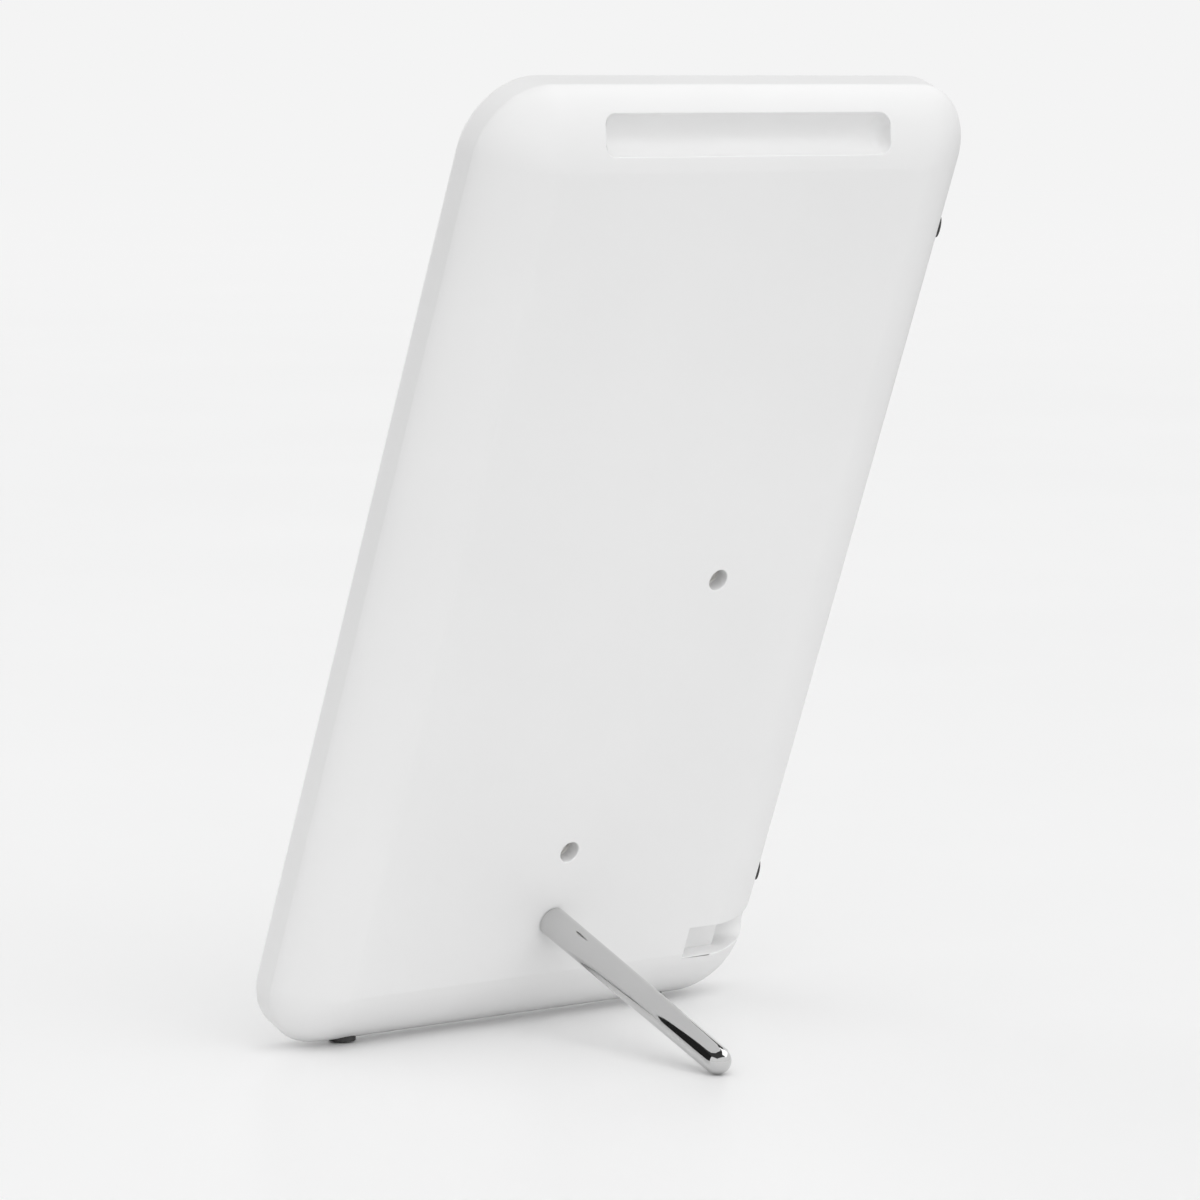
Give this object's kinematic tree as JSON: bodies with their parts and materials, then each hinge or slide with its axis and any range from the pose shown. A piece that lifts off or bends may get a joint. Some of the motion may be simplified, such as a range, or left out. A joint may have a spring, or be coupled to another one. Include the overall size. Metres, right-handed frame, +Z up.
{
  "type": "light therapy lamp",
  "caption": "Slim tablet-shaped bright-light lamp with a back-lit diffuser panel, leaning back on a screw-in rod.",
  "frame": {"origin": "on the floor, under the middle of the standing lamp's box", "axes": "+Z up, -Y the way the light shines, +Y the back that the stand rod sticks out of, -X the side with the power inlet and the side feet"},
  "size_m": [0.1662, 0.1106, 0.2631],
  "materials": {
    "white_shell": "fine satin moulded skin",
    "white_frame": "smooth moulded gloss",
    "opal_acrylic": "opal acrylic, polished face",
    "diffusing_film": "fine matt film",
    "clear_acrylic": "clear acrylic with polished edges",
    "reflector_white": "bright white sheet",
    "tray_aluminium": "brushed sheet",
    "strip_board": "white solder mask",
    "led_package": "white package with yellow phosphor",
    "green_board": "green solder mask",
    "zinc_steel": "zinc plated",
    "can_aluminium": "plain can",
    "ferrite": "pressed ferrite",
    "chip_black": "moulded epoxy",
    "header_nylon": "natural nylon",
    "socket_black": "moulded black",
    "contact_plating": "nickel plated contact",
    "lead_black": "black insulation",
    "lead_red": "red insulation",
    "lead_grey": "grey insulation",
    "button_white": "satin moulded cap",
    "switch_grey": "moulded switch body",
    "bush_nickel": "nickel plated brass",
    "rod_chrome": "bright polished plating",
    "foot_rubber": "dark grey matt rubber"
  },
  "bodies": {
    "lamp": {"rear_housing": "white_shell", "front_bezel": "white_frame", "diffuser_panel": "opal_acrylic", "diffuser_film": "diffusing_film", "light_guide": "clear_acrylic", "reflector_sheet": "reflector_white", "heat_tray": "tray_aluminium", "led_strips": "strip_board", "led_chips": "led_package", "driver_board": "green_board", "board_screws": "zinc_steel", "smoothing_capacitors": "can_aluminium", "driver_inductor": "ferrite", "driver_chips": "chip_black", "lead_headers": "header_nylon", "dc_jack": "socket_black", "jack_pin": "contact_plating", "power_lead": "lead_black", "led_leads": "lead_red", "switch_lead": "lead_grey", "switch_body": "switch_grey", "switch_board": "green_board", "switch_screws": "zinc_steel", "stand_bushes": "bush_nickel", "bottom_feet": "foot_rubber", "side_feet": "foot_rubber"},
    "stand_rod": {"stand_rod": "rod_chrome"},
    "button": {"power_button": "button_white", "switch_plunger": "socket_black"}
  },
  "joints": [
    {"name": "stand_rod_out", "type": "slide", "parent": "lamp", "child": "stand_rod", "axis": [0, 0.934, -0.3574], "range_m": [0, 0.012]},
    {"name": "power_button_press", "type": "slide", "parent": "lamp", "child": "button", "axis": [0, 0.934, -0.3574], "range_m": [0, 0.0006], "stiffness_N_per_m": 1500, "springref_m": -0.0003}
  ]
}
